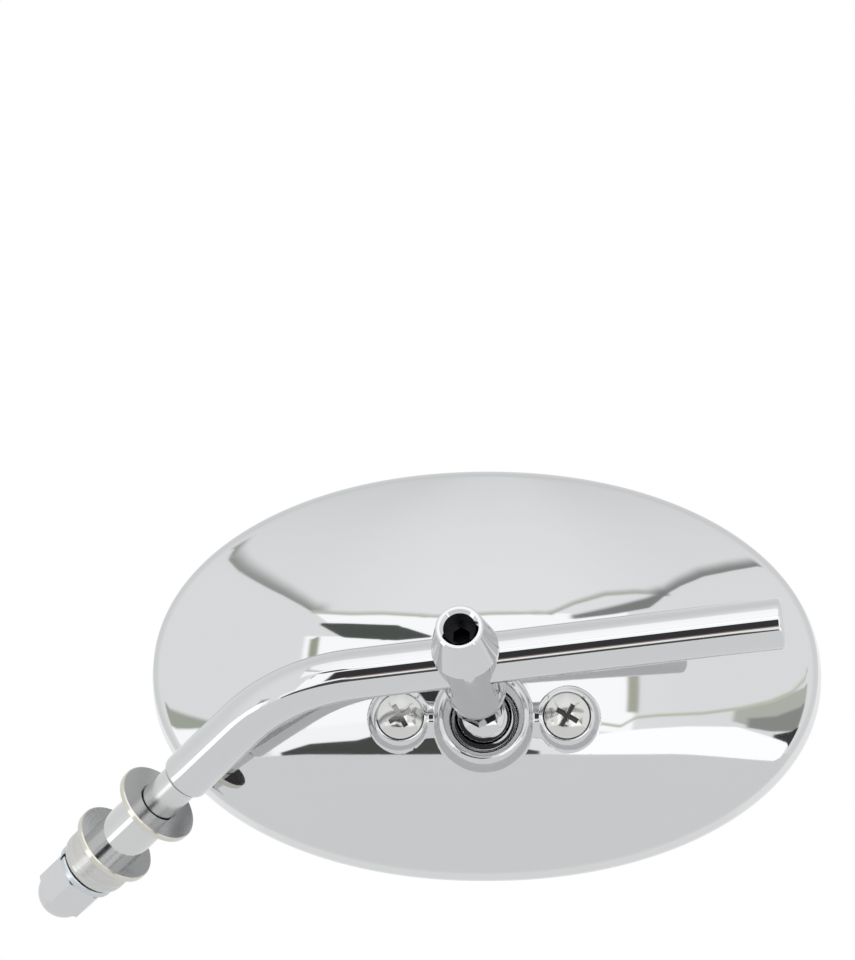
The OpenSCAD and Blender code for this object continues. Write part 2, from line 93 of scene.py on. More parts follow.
def length(name, description, default):
    return FloatProperty(name=name, description=description, default=default,
                         subtype="DISTANCE", unit="LENGTH", precision=5)


def share(name, description, default):
    return FloatProperty(name=name, description=description, default=default,
                         min=0.0, max=1.0, subtype="FACTOR")


def colour(name, description, default):
    return FloatVectorProperty(name=name, description=description, default=default,
                               size=3, min=0.0, max=1.0, subtype="COLOR")


def location(name, description, default):
    return FloatVectorProperty(name=name, description=description, default=default,
                               size=3, subtype="TRANSLATION", unit="LENGTH")


def light_power(name, description, default):
    return FloatProperty(name=name, description=description, default=default, unit="POWER")


class MirrorHead(bpy.types.PropertyGroup):
    """Sizes of the oval housing."""

    half_width: length("Half width", "Half the width of the head over its lip",
                       (HOUSING_HIGH.x - HOUSING_LOW.x) / 2)
    half_height: length("Half height", "Half the height of the head over its lip",
                        (HOUSING_HIGH.z - HOUSING_LOW.z) / 2)
    outline_power: FloatProperty(name="Outline power", default=2.08,
                                 description="Power of the oval, where 2 is a true ellipse")
    dome_depth: length("Dome depth", "Depth of the domed back", 0.020)
    lip_end_depth: length("Lip depth at the ends", "From the dome's crest to the lip", 0.039)
    lip_mid_depth: length("Lip depth at the middle", "From the dome's crest to the lip", 0.033)
    lip_width: length("Lip width", "Thickness of the rolled lip", 0.003)
    wall_lean: length("Wall lean", "How far the wall leans in on its way back", 0.0015)
    corner_run: length("Corner run", "How far the rounded corner runs down the wall", 0.0026)
    dome_share: share("Dome share", "Share of the dome before its corner starts", 0.975)
    shell: length("Shell", "Thickness of the dome's wall", 0.0024)
    ledge_depth: length("Ledge depth", "From the dome's crest to the ledge", 0.024)
    ledge_width: length("Ledge width", "Width of the ledge behind the glass", 0.002)
    rim_radius: length("Rim radius", "Inner radius of the rim round the socket", 0.0104)
    rim_width: length("Rim width", "Width of the rim's flat top", 0.0012)
    rim_stand: length("Rim stand", "How far the rim stands behind the crest", 0.0013)
    mouth_radius: length("Mouth radius", "Radius of the socket's mouth", 0.007)
    funnel_depth: length("Funnel depth", "Depth of the funnel round the neck", 0.0028)
    socket_radius: length("Socket radius", "Radius of the ball's socket", 0.0082)
    lobe_radius: length("Lobe radius", "Radius of the flat top of a screw lobe", 0.007)
    lobe_depth: length("Lobe depth", "From the dome's crest to a lobe's top", 0.0004)
    bridge_drop: length("Bridge drop", "How far the bridge lies below the lobes", 0.0005)
    bridge_radius: length("Bridge radius", "Radius across the bridge's rounded top", 0.0036)
    seat_radius: length("Seat radius", "Radius of the seat round a screw's head", 0.00605)
    seat_depth: length("Seat depth", "Depth of that seat", 0.0012)
    bore_radius: length("Bore radius", "Radius of the hole for a screw", 0.00244)
    flank: FloatProperty(name="Flank", description="Slope of the boss's flanks",
                         default=math.radians(71), subtype="ANGLE", unit="ROTATION")
    fillet: length("Fillet", "Blend between the boss and the dome", 0.001)
    top_edge: length("Top edge", "Softness of the boss's upper edges", 0.0006)
    spokes: IntProperty(name="Spokes", description="Points round the oval", default=360)


class MirrorStem(bpy.types.PropertyGroup):
    """Sizes of the bent rod and the collar."""

    rod_radius: length("Rod radius", "Radius of the rod", 0.00635)
    shank_radius: length("Shank radius", "Radius of the shank", 0.005)
    bare_length: length("Bare length", "Bare shank between the washer and the shoulder", 0.0102)
    shoulder_length: length("Shoulder length", "From the shoulder to the bend's corner", 0.0426)
    rod_length: length("Rod length", "From the bend's corner to the free end", 0.123)
    bend_radius: length("Bend radius", "Radius of the bend at the rod's axis", 0.042)
    shoulder_radius: length("Shoulder radius", "Radius of the rounded shoulder", 0.002)
    end_round: length("End round", "Rounding of the rod's free end", 0.0012)
    collar_radius: length("Collar radius", "Outer radius of the collar",
                          reach("collar", SHANK_DIR))
    collar_round: length("Collar round", "Rounding of the collar's lower edge", 0.0024)
    ring_pitch: length("Ring pitch", "Distance between the collar's turned rings", 0.0005)
    ring_depth: length("Ring depth", "Depth of the turned rings", 0.00007)
    ring_count: IntProperty(name="Ring count", description="Turned rings on the collar",
                            default=12)
    sides: IntProperty(name="Sides", description="Points round the rod", default=96)


class MirrorFinish(bpy.types.PropertyGroup):
    """Colours and roughness of the finishes."""

    chrome: colour("Chrome", "Colour of the chrome plate", (0.655, 0.66, 0.667))
    chrome_rough: share("Chrome roughness", "Roughness of the polished chrome", 0.035)
    satin: colour("Satin chrome", "Colour of the satin shank", (0.66, 0.665, 0.66))
    satin_rough: share("Satin roughness", "Roughness of the satin shank", 0.24)
    zinc: colour("Zinc", "Colour of the plated lock washers", (0.60, 0.635, 0.665))
    zinc_rough: share("Zinc roughness", "Roughness of the plated lock washers", 0.24)
    steel: colour("Screw steel", "Colour of the screw heads", (0.72, 0.72, 0.70))
    # Groove colours darker than their metal: painted shade in the turned grooves
    screw_groove_shade: colour("Screw groove", "Colour of their turned grooves", (0.64, 0.64, 0.62))
    collar_groove_shade: colour("Collar groove", "Colour of its turned grooves", (0.58, 0.58, 0.56))
    washer: colour("Washer", "Colour of the large washers", (0.56, 0.565, 0.57))
    # Groove colour darker than the washer: painted shade in its turned grooves
    washer_groove_shade: colour("Washer groove", "Colour of their grooves", (0.47, 0.47, 0.47))
    bronze: colour("Warm edge", "Tint at the edges of the large washers", (0.66, 0.64, 0.58))
    black: colour("Black oxide", "Colour of the set screw", (0.018, 0.018, 0.02))
    rubber: colour("Rubber", "Colour of the gasket and the pad", (0.016, 0.016, 0.017))
    liner: colour("Liner", "Colour of the moulded liner", (0.72, 0.69, 0.6))
    silvering: colour("Silvering", "Colour of the mirror glass", (0.84, 0.87, 0.88))


class MirrorStudio(bpy.types.PropertyGroup):
    """Camera and light."""

    camera_place: location("Camera place", "Where the camera stands",
                           (0.116865, -1.469664, -0.10209))
    camera_aim: location("Camera aim", "The point in the middle of the picture",
                         (0.072841, 0.017446, 0.089134))
    lens: FloatProperty(name="Lens", description="Focal length in mm on a 36 mm sensor",
                        default=247.07)
    floor_height: length("Floor height", "Height of the pale floor", -0.42)
    floor_half: length("Floor half size", "Half the side of the floor", 2.5)
    table_depth: length("Table depth", "From the ball to the table's front edge", 0.66)
    table_half: length("Table half width", "Half the width of the mirrored table", 0.82)
    table_corner: length("Table corner", "How far its front edge runs back at a side", 0.13)
    table_straight: length("Table straight", "Where that begins, from the middle", 0.45)
    floor_colour: colour("Floor", "Colour of the floor", (0.93, 0.93, 0.93))
    roof: FloatProperty(name="Roof", description="Brightness of the tent's roof", default=1.12)
    roof_top: FloatProperty(name="Roof top", description="Brightness straight above",
                            default=1.04)
    flanks: share("Flanks", "Brightness of the tent's two sides against its middle", 0.93)
    back: share("Back", "Brightness behind the mirror against the front", 0.88)
    strip: light_power("Strip light", "Of the soft box that lights the rod", 1.2)
    side_strip: light_power("Side strip light", "Of the soft box that lights the shank", 0.62)


# Node helpers

def new_group(name, kind, inputs, outputs):
    """Empty node group with named sockets, given as (name, kind, default)."""
    tree = bpy.data.node_groups.new(name, kind)
    for label, socket, value in inputs:
        item = tree.interface.new_socket(label, in_out="INPUT",
                                         socket_type="NodeSocket" + socket)
        if value is not None:
            item.default_value = value
    for label, socket in outputs:
        tree.interface.new_socket(label, in_out="OUTPUT", socket_type="NodeSocket" + socket)
    return tree, tree.nodes.new("NodeGroupInput"), tree.nodes.new("NodeGroupOutput")


def feed(tree, node, values):
    """Sets a node's inputs, or links those whose value is a socket."""
    for label, value in values.items():
        if isinstance(value, bpy.types.NodeSocket):
            tree.links.new(value, node.inputs[label])
        elif value is not None:
            node.inputs[label].default_value = value
    return node


def new_node(tree, kind, values, **settings):
    """New node with its settings and its inputs."""
    node = tree.nodes.new(kind)
    for name, setting in settings.items():
        setattr(node, name, setting)
    return feed(tree, node, values)


def math_node(tree, operation, a, b=None, c=None):
    """Math node fed by sockets or numbers."""
    return new_node(tree, "ShaderNodeMath", {0: a, 1: b, 2: c},
                    operation=operation).outputs[0]


def vector_node(tree, operation, a, b=None, scale=None):
    """Vector Math node fed by sockets or plain vectors."""
    scalar = operation in ("DOT_PRODUCT", "LENGTH")
    node = new_node(tree, "ShaderNodeVectorMath", {0: a, 1: b, "Scale": scale},
                    operation=operation)
    return node.outputs["Value" if scalar else "Vector"]


def ramp_node(tree, value, low, high, bottom=0.0, top=1.0, smooth=True):
    """Map Range node that turns one span of numbers into another."""
    span = {"Value": value, "From Min": low, "From Max": high, "To Min": bottom, "To Max": top}
    kind = "SMOOTHSTEP" if smooth else "LINEAR"
    return new_node(tree, "ShaderNodeMapRange", span,
                    interpolation_type=kind).outputs["Result"]


def mix_colours(tree, factor, a, b):
    """Mix node for colours."""
    a, b = (value if isinstance(value, bpy.types.NodeSocket) else (*value, 1.0)
            for value in (a, b))
    return new_node(tree, "ShaderNodeMix", {0: factor, 6: a, 7: b}, data_type="RGBA").outputs[2]


def noise_node(tree, vector, scale, detail=3.0, roughness=0.5):
    """Noise Texture node on given coordinates."""
    look = {"Vector": vector, "Scale": scale, "Detail": detail, "Roughness": roughness}
    return new_node(tree, "ShaderNodeTexNoise", look).outputs["Fac"]


def bump_node(tree, height, distance, strength=1.0):
    """Bump node, in metres."""
    look = {"Height": height, "Distance": distance, "Strength": strength}
    return new_node(tree, "ShaderNodeBump", look).outputs["Normal"]


def camera_ray(tree):
    """One for rays that come straight from the camera."""
    return tree.nodes.new("ShaderNodeLightPath").outputs["Is Camera Ray"]


def object_place(tree):
    """The piece's own coordinates."""
    return tree.nodes.new("ShaderNodeTexCoord").outputs["Object"]


# Shader groups that several finishes share

# Waves per metre of the clouds, the wipe marks and the orange peel on plate
CLOUDS, WIPES, PEEL = 38.0, (60.0, 260.0, 1400.0), 240.0
PEEL_DEPTH = 0.0002
DULLED = (0.74, 0.75, 0.77)
# Waves per metre of the unevenness from ring to ring
RING_CHANGES = 2600.0
# Share of a metal's light that it keeps at a grazing angle
GRAZING = 0.94


def polish_group():
    """Faint wipe marks and tiny orange peel, as on handled chrome plate."""
    if "polish" in bpy.data.node_groups:
        return bpy.data.node_groups["polish"]
    tree, inside, outside = new_group(
        "polish", "ShaderNodeTree",
        [("Colour", "Color", (0.8, 0.8, 0.8, 1.0)),
         ("Roughness", "Float", 0.05),
         ("Marks", "Float", 0.02),
         ("Peel", "Float", 0.01)],
        [("Colour", "Color"), ("Roughness", "Float"), ("Normal", "Vector")])
    given = inside.outputs
    place = object_place(tree)
    cloud = noise_node(tree, place, CLOUDS, 4.0)
    wipes = noise_node(tree, vector_node(tree, "MULTIPLY", place, WIPES), 1.0, 2.0)
    mask = math_node(tree, "MULTIPLY", ramp_node(tree, cloud, 0.42, 0.68),
                     ramp_node(tree, wipes, 0.35, 0.75))
    rough = math_node(tree, "MULTIPLY_ADD", mask, given["Marks"], given["Roughness"])
    dim = mix_colours(tree, 0.5, given["Colour"], DULLED)
    tint = mix_colours(tree, math_node(tree, "MULTIPLY", mask, 0.12), given["Colour"], dim)
    peel = bump_node(tree, noise_node(tree, place, PEEL, 1.0), PEEL_DEPTH, given["Peel"])
    feed(tree, outside, {"Colour": tint, "Roughness": rough, "Normal": peel})
    return tree


def turning_group():
    """Rings that a lathe leaves, about an axis, with their place along and out from it."""
    if "turning" in bpy.data.node_groups:
        return bpy.data.node_groups["turning"]
    tree, inside, outside = new_group(
        "turning", "ShaderNodeTree",
        [("Centre", "Vector", (0.0, 0.0, 0.0)),
         ("Axis", "Vector", (0.0, 0.0, 1.0)),
         ("Pitch", "Float", 0.0004),
         ("Depth", "Float", 0.00002)],
        [("Along", "Float"), ("Out", "Float"), ("Mask", "Float"), ("Normal", "Vector")])
    given = inside.outputs
    arm = vector_node(tree, "SUBTRACT", object_place(tree), given["Centre"])
    along = vector_node(tree, "DOT_PRODUCT", arm, given["Axis"])
    spine = vector_node(tree, "SCALE", given["Axis"], scale=along)
    out = vector_node(tree, "LENGTH", vector_node(tree, "SUBTRACT", arm, spine))
    phase = math_node(tree, "ADD", along, out)
    turns = math_node(tree, "MULTIPLY", math_node(tree, "DIVIDE", phase, given["Pitch"]),
                      math.tau)
    ring = math_node(tree, "MULTIPLY_ADD", math_node(tree, "SINE", turns), 0.5, 0.5)
    spin = new_node(tree, "ShaderNodeCombineXYZ", {"X": phase}).outputs["Vector"]
    uneven = noise_node(tree, spin, RING_CHANGES, 2.0)
    # One on the rings' crests and nought in their grooves; finishes with a darker groove colour
    # use it to paint shade into the grooves
    mask = math_node(tree, "MULTIPLY", ring, ramp_node(tree, uneven, 0.3, 0.7))
    feed(tree, outside, {"Along": along, "Out": out, "Mask": mask,
                         "Normal": bump_node(tree, mask, given["Depth"])})
    return tree


def new_material(name, metallic=0.0):
    """Material with an empty tree, a Principled shader and its output."""
    material = bpy.data.materials.new(name)
    material.use_nodes = True
    tree = material.node_tree
    tree.nodes.clear()
    shader = new_node(tree, "ShaderNodeBsdfPrincipled", {"Metallic": metallic})
    new_node(tree, "ShaderNodeOutputMaterial", {"Surface": shader.outputs["BSDF"]})
    return material, tree, shader


def place_group(tree, group, **values):
    """Outputs of a group node with its inputs set by their names."""
    return new_node(tree, "ShaderNodeGroup", values, node_tree=group).outputs


def plate(tree, shader, tint, rough, marks, peel, normal=None):
    """Feeds a metal's shader with the colour, roughness and normal of handled plate."""
    polish = place_group(tree, polish_group(), Colour=tint, Roughness=rough, Marks=marks,
                         Peel=peel)
    feed(tree, shader, {"Base Color": polish["Colour"], "Roughness": polish["Roughness"],
                        "Normal": normal or polish["Normal"]})


def polished(name, tint, rough, marks=0.03, peel=0.006):
    """Bright plate with faint wipe marks, greyer at a grazing angle."""
    material, tree, shader = new_material(name, 1.0)
    feed(tree, shader, {"Specular Tint": (GRAZING, GRAZING, GRAZING, 1.0)})
    plate(tree, shader, (*tint, 1.0), rough, marks, peel)
    return material


def turned(name, tint, groove_tint, rough, centre, axis, pitch, depth, edge=None):
    """Lathe-turned metal, its grooves in a second colour (a darker one is painted shade), with an
    optional warm edge given as (colour, from, to).
    """
    material, tree, shader = new_material(name, 1.0)
    rings = place_group(tree, turning_group(), Centre=centre, Axis=axis, Pitch=pitch,
                        Depth=depth)
    # Groove colour where the mask is low: on the screws, collar and washers a darker one, painted
    # shade in the grooves
    base = mix_colours(tree, rings["Mask"], groove_tint, tint)
    if edge is not None:
        warm, start, end = edge
        base = mix_colours(tree, ramp_node(tree, rings["Out"], start, end), base, warm)
    plate(tree, shader, base, rough, 0.06, 0.0, rings["Normal"])
    return material


def soft_material(name, tint, rough, grain, depth):
    """Rubber, foam or moulded plastic with a fine grain."""
    material, tree, shader = new_material(name)
    speck = noise_node(tree, object_place(tree), grain, 3.0, 0.6)
    lighter = tuple(min(1.0, 1.6 * channel + 0.004) for channel in tint)
    colour_now = mix_colours(tree, ramp_node(tree, speck, 0.4, 0.75), tint, lighter)
    feed(tree, shader, {
        "Base Color": colour_now,
        "Roughness": ramp_node(tree, speck, 0.2, 0.8, rough - 0.1, rough + 0.1),
        "Normal": bump_node(tree, speck, depth, 0.5)})
    return material


def dress(node, material):
    """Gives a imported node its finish."""
    data = frame["nodes"][node].data
    data.materials.clear()
    data.materials.append(material)


# Mesh helpers

def add_object(name, vertices, faces, material, sharp=30.0):
    """Mesh object at the origin, shaded smooth up to an angle."""
    mesh = bpy.data.meshes.new(name)
    mesh.from_pydata([tuple(v) for v in vertices], [], faces)
    mesh.validate()
    obj = bpy.data.objects.new(name, mesh)
    bpy.context.scene.collection.objects.link(obj)
    finish_mesh(obj, material, sharp)
    return obj


def finish_mesh(obj, material, sharp=30.0):
    """One material and smooth shading up to an angle."""
    obj.data.materials.clear()
    obj.data.materials.append(material)
    obj.data.shade_smooth()
    obj.data.set_sharp_from_angle(angle=math.radians(sharp))


def ring_faces(count, spokes, closed=False):
    """Quads between neighbouring rings of points."""
    faces = []
    for r in range(count if closed else count - 1):
        after = (r + 1) % count
        for i in range(spokes):
            j = (i + 1) % spokes
            faces.append((r * spokes + i, r * spokes + j, after * spokes + j,
                          after * spokes + i))
    return faces


def lathe(profile, centre, axis, sides):
    """Closed ring of points turned about an axis, from (radius, along) pairs."""
    turn = Vector((0, 0, 1)).rotation_difference(axis).to_matrix()
    points = []
    for radius, along in profile:
        for i in range(sides):
            angle = math.tau * i / sides
            local = Vector((radius * math.cos(angle), radius * math.sin(angle), along))
            points.append(centre + turn @ local)
    return points, ring_faces(len(profile), sides, closed=True)


def plain_mesh(obj, name):
    """The evaluated result of an object's modifiers as a plain object."""
    bpy.context.view_layer.update()
    graph = bpy.context.evaluated_depsgraph_get()
    mesh = bpy.data.meshes.new_from_object(obj.evaluated_get(graph))
    mesh.name = name
    result = bpy.data.objects.new(name, mesh)
    bpy.context.scene.collection.objects.link(result)
    bpy.data.objects.remove(obj)
    return result


# Housing

# Steps between the mesh's rings round the rim and over the lobes, where the first turn into
# the second, how far past a screw the second run, and the number of wide ones after them
RIM_STEP, LOBE_STEP = 0.0002, 0.0003
RIM_END, PAST_SCREW, WIDE_RINGS = 0.0143, 0.0125, 44
# The rounded edges of the funnel: share of its run, and how far the edge sinks
FUNNEL_STEPS = ((0.03, 0.0), (0.06, 0.0), (0.5, 0.0), (0.9, 0.0), (0.95, 0.01), (0.985, 0.03))
CUTTER_SIDES, CUTTER_TOP, CUTTER_FOOT = 96, -0.004, 0.012


def at_depth(p, depth):
    """Flat points set at a depth, or each at its own."""
    return np.stack([p[:, 0], np.broadcast_to(depth, len(p)), p[:, 1]], axis=-1)


def oval(sizes, inset, t):
    """Points of the oval outline, set in from the lip."""
    power = 2 / sizes.outline_power
    x = (sizes.half_width - inset) * np.sign(np.cos(t)) * np.abs(np.cos(t)) ** power
    z = (sizes.half_height - inset) * np.sign(np.sin(t)) * np.abs(np.sin(t)) ** power
    return np.stack([x, z], axis=-1)


def dome_depth(sizes, p):
    """Depth of the plain dome below its crest."""
    power = sizes.outline_power
    part = (np.abs(p[..., 0]) / (sizes.half_width - sizes.wall_lean)) ** power \
        + (np.abs(p[..., 1]) / (sizes.half_height - sizes.wall_lean)) ** power
    return sizes.dome_depth * part ** (2 / power)


def soft_step(distance, softness):
    """Distance past an edge, eased in round the edge."""
    return 0.5 * (distance + np.sqrt(distance ** 2 + softness ** 2))


def blended(a, b, reach_of_blend):
    """The nearer of two depths, with a fillet where they meet."""
    h = np.maximum(reach_of_blend - np.abs(a - b), 0) / reach_of_blend
    return np.minimum(a, b) - h * h * reach_of_blend / 4


def boss_depth(sizes, p, socket, lobe_x):
    """Depth of the dome with its rim, two lobes and the bridge between them."""
    slope = math.tan(sizes.flank)
    x = np.abs(p[..., 0] - socket[0])
    z = p[..., 1] - socket[1]
    rim = -sizes.rim_stand + slope * soft_step(
        np.hypot(x, z) - sizes.rim_radius - sizes.rim_width, sizes.top_edge)
    lobe = sizes.lobe_depth + slope * soft_step(
        np.hypot(x - lobe_x, z) - sizes.lobe_radius, sizes.top_edge)
    past = np.maximum(x - lobe_x, 0)
    bridge = sizes.lobe_depth + sizes.bridge_drop \
        + (past ** 2 + z ** 2) / (2 * sizes.bridge_radius)
    depth = blended(dome_depth(sizes, p), bridge, sizes.fillet * 2)
    depth = blended(depth, lobe, sizes.fillet * 0.7)
    return blended(depth, rim, sizes.fillet)


def housing_points(sizes):
    """Rings of the closed shell, outwards and back inside, and the screws' places."""
    head = Vector(((HOUSING_LOW.x + HOUSING_HIGH.x) / 2,
                   GLASS_LOW.y - sizes.ledge_depth,
                   (HOUSING_LOW.z + HOUSING_HIGH.z) / 2))
    socket = np.array([0.0, BALL_POS.z - head.z])
    lobe_x = (SCREW_RIGHT.x - SCREW_LEFT.x) / 2
    ball_depth = BALL_POS.y - head.y
    t = math.tau * np.arange(sizes.spokes) / sizes.spokes
    edge = oval(sizes, sizes.wall_lean, t)
    arm = edge - socket
    spoke_length = np.linalg.norm(arm, axis=1)
    spoke = arm / spoke_length[:, None]
    rings = []

    def circle(radius, depth):
        rings.append(at_depth(socket + radius * spoke, depth))

    def surface(along):
        p = socket + along * spoke
        rings.append(at_depth(p, boss_depth(sizes, p, socket, lobe_x)))

    # Ball socket and funnel, with small rounded edges
    mouth_depth = sizes.funnel_depth - sizes.rim_stand
    inner_depth = float(dome_depth(sizes, socket[None])[0]) + sizes.shell
    for depth in np.linspace(inner_depth, mouth_depth + RIM_STEP, 6):
        circle(math.sqrt(sizes.socket_radius ** 2 - (ball_depth - depth) ** 2), depth)
    run = sizes.rim_radius - sizes.mouth_radius
    for step, sink in FUNNEL_STEPS:
        circle(sizes.mouth_radius + step * run,
               mouth_depth - (step - sink) * sizes.funnel_depth)
    for radius in np.arange(sizes.rim_radius + RIM_STEP, RIM_END, RIM_STEP):
        surface(radius)
    # Finely over the lobes, then widening out to the corner
    reach_x = sizes.half_width * sizes.dome_share
    fine = np.arange(RIM_END, lobe_x + PAST_SCREW, LOBE_STEP)
    wide = np.linspace(lobe_x + PAST_SCREW, reach_x, WIDE_RINGS)[1:]
    for radius in np.concatenate([fine, wide]):
        w = (radius - RIM_END) / (reach_x - RIM_END)
        along = RIM_END + w * (sizes.dome_share * spoke_length - RIM_END)
        surface(along[:, None])
    # Rounded corner, pulled towards the edge where dome and wall would meet
    outline = oval(sizes, 0, t)
    lip = sizes.lip_mid_depth + (sizes.lip_end_depth - sizes.lip_mid_depth) * (
        outline[:, 0] / sizes.half_width) ** 2
    top = at_depth(edge, sizes.dome_depth)
    foot = at_depth(outline, lip - sizes.lip_width / 2)
    down = (foot - top) / np.linalg.norm(foot - top, axis=1)[:, None]
    begin = rings[-1]
    pull = at_depth(edge, sizes.dome_depth * (1 - (1 - sizes.dome_share) ** 2))
    wall = top + sizes.corner_run * down
    for s in np.linspace(0, 1, 15)[1:]:
        rings.append((1 - s) ** 2 * begin + 2 * s * (1 - s) * pull + s ** 2 * wall)
    for s in (0.25, 0.5, 0.75):
        rings.append(wall + s * (foot - wall))
    # Half-round lip, inner wall, ledge and the inside of the dome
    for turn in np.linspace(0, math.pi, 11):
        p = oval(sizes, sizes.lip_width / 2 * (1 - math.cos(turn)), t)
        rings.append(at_depth(p, lip - sizes.lip_width / 2 * (1 - math.sin(turn))))
    ledge = sizes.lip_width + sizes.ledge_width
    for inset in (sizes.lip_width, ledge):
        rings.append(at_depth(oval(sizes, inset, t), sizes.ledge_depth))
    back = oval(sizes, ledge, t) - socket
    for s in np.linspace(1, 0.16, 8):
        p = socket + s * back
        rings.append(at_depth(p, dome_depth(sizes, p) + sizes.shell))
    points = np.concatenate(rings) + np.array(head)
    return points, len(rings), [head + Vector((side * lobe_x, 0, socket[1]))
                                for side in (-1, 1)]


class MIRROR_OT_housing(bpy.types.Operator):
    """Domed oval shell with its socket, screw lobes and wavy lip"""

    bl_idname = "mirror.housing"
    bl_label = "Housing"

    def execute(self, context):
        sizes = context.scene.mirror_head
        finish = context.scene.mirror_finish
        points, count, screws = housing_points(sizes)
        chrome = polished("dome chrome", finish.chrome, finish.chrome_rough, 0.02, 0.004)
        shell = add_object("housing_shell", points,
                           ring_faces(count, sizes.spokes, closed=True), chrome)
        # Stepped cutters for the two seats and their bores
        seat_floor = sizes.lobe_depth + sizes.seat_depth
        profile = [(sizes.seat_radius, CUTTER_TOP), (sizes.seat_radius, seat_floor),
                   (sizes.bore_radius, seat_floor), (sizes.bore_radius, CUTTER_FOOT)]
        for centre in screws:
            vertices = lathe(profile, centre, GLASS_DIR, CUTTER_SIDES)[0]
            top = tuple(range(CUTTER_SIDES - 1, -1, -1))
            foot = tuple(range(3 * CUTTER_SIDES, 4 * CUTTER_SIDES))
            faces = [*ring_faces(len(profile), CUTTER_SIDES), top, foot]
            cutter = add_object("seat_cutter", vertices, faces, chrome)
            cut = shell.modifiers.new("seat", "BOOLEAN")
            cut.operation = "DIFFERENCE"
            cut.solver = "EXACT"
            cut.object = cutter
            shell = plain_mesh(shell, "housing_shell")
            bpy.data.objects.remove(cutter)
        finish_mesh(shell, chrome, 32)
        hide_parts("housing")
        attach(shell, "head")
        return {"FINISHED"}


class MIRROR_OT_glass(bpy.types.Operator):
    """Silvered glass, its gasket and the pad behind it"""

    bl_idname = "mirror.glass"
    bl_label = "Glass"

    def execute(self, context):
        finish = context.scene.mirror_finish
        dress("glass", polished("silvered glass", finish.silvering, 0.012, 0.015, 0.0))
        rubber = soft_material("black rubber", finish.rubber, 0.6, 2400.0, 0.00003)
        dress("glass_gasket", rubber)
        dress("backing_pad", soft_material("black foam", finish.rubber, 0.8, 900.0, 0.0003))
        return {"FINISHED"}


# Stem

# Chamfer of the shank's end, and where its plain length starts after that
END_CHAMFER, PLAIN_START = 0.0006, 0.004
# Turned marks of the satin shank, and where satin ends past the shoulder and begins before it
SHANK_PITCH, SHANK_GROOVE = 0.0005, 0.000008
SATIN_ENDS, SATIN_FULL = 0.0004, 0.0002


def shoulder_place(sizes):
    """Where the rod's full size ends and the shank starts, along the shank."""
    return spread("washer_upper", SHANK_DIR)[1] + sizes.bare_length


def stem_path(sizes):
    """Axis points of the bent rod with the radius at each, from the shank's end."""
    low = spread("stem", SHANK_DIR)[0]
    turn = ROD_DIR.angle(SHANK_DIR)
    toward = (ROD_DIR - math.cos(turn) * SHANK_DIR) / math.sin(turn)
    run = sizes.bend_radius * math.tan(turn / 2)
    shoulder = shoulder_place(sizes)
    corner = (shoulder + sizes.shoulder_length) * SHANK_DIR
    tip = corner + sizes.rod_length * ROD_DIR
    rod, shank, rounding = sizes.rod_radius, sizes.shank_radius, sizes.shoulder_radius
    points = [(SHANK_DIR * low, shank - END_CHAMFER),
              (SHANK_DIR * (low + END_CHAMFER), shank)]
    # The shoulder's arc starts where it is as wide as the shank
    first = math.asin(1 - (rod - shank) / rounding)
    foot = shoulder + rounding * (1 - math.cos(first))
    points += [(SHANK_DIR * at, shank)
               for at in np.linspace(low + PLAIN_START, foot - 0.0001, 6)]
    for angle in np.linspace(first, math.pi / 2, 9):
        points.append((SHANK_DIR * (shoulder + rounding * (1 - math.cos(angle))),
                       rod - rounding * (1 - math.sin(angle))))
    full = SHANK_DIR * (shoulder + rounding)
    start = corner - run * SHANK_DIR
    points += [(full.lerp(start, part), rod) for part in np.linspace(0, 1, 7)[1:]]
    centre = start + sizes.bend_radius * toward
    for angle in np.linspace(0, turn, 49)[1:]:
        points.append((centre - sizes.bend_radius * math.cos(angle) * toward
                       + sizes.bend_radius * math.sin(angle) * SHANK_DIR, rod))
    end = tip - ROD_DIR * sizes.end_round
    begin = points[-1][0]
    points += [(begin.lerp(end, part), rod) for part in np.linspace(0, 1, 12)[1:]]
    for angle in np.linspace(0, math.pi / 2, 9)[1:]:
        points.append((end + ROD_DIR * sizes.end_round * math.sin(angle),
                       rod - sizes.end_round * (1 - math.cos(angle))))
    return points


def sweep_group():
    """Geometry nodes that sweep a round section along a curve."""
    tree, inside, outside = new_group(
        "round_sweep", "GeometryNodeTree",
        [("Curve", "Geometry", None), ("Sides", "Int", 96),
         ("Finish", "Material", None)],
        [("Geometry", "Geometry")])
    given = inside.outputs
    section = new_node(tree, "GeometryNodeCurvePrimitiveCircle",
                       {"Radius": 1.0, "Resolution": given["Sides"]})
    girth = tree.nodes.new("GeometryNodeInputRadius")
    sweep = new_node(tree, "GeometryNodeCurveToMesh",
                     {"Curve": given["Curve"], "Profile Curve": section.outputs["Curve"],
                      "Fill Caps": True, "Scale": girth.outputs["Radius"]})
    finish_tree(tree, sweep.outputs["Mesh"], given["Finish"], outside)
    return tree


def finish_tree(tree, shape, finish, outside):
    """Ends a tree in Realize Instances and Set Material."""
    real = new_node(tree, "GeometryNodeRealizeInstances", {"Geometry": shape})
    dressed = new_node(tree, "GeometryNodeSetMaterial",
                       {"Geometry": real.outputs["Geometry"], "Material": finish})
    feed(tree, outside, {"Geometry": dressed.outputs["Geometry"]})


def with_nodes(obj, tree, values, name):
    """Runs a geometry node tree on an object and returns the plain result."""
    modifier = obj.modifiers.new(tree.name, "NODES")
    modifier.node_group = tree
    for item in tree.interface.items_tree:
        if item.in_out == "INPUT" and item.name in values:
            modifier[item.identifier] = values[item.name]
    return plain_mesh(obj, name)


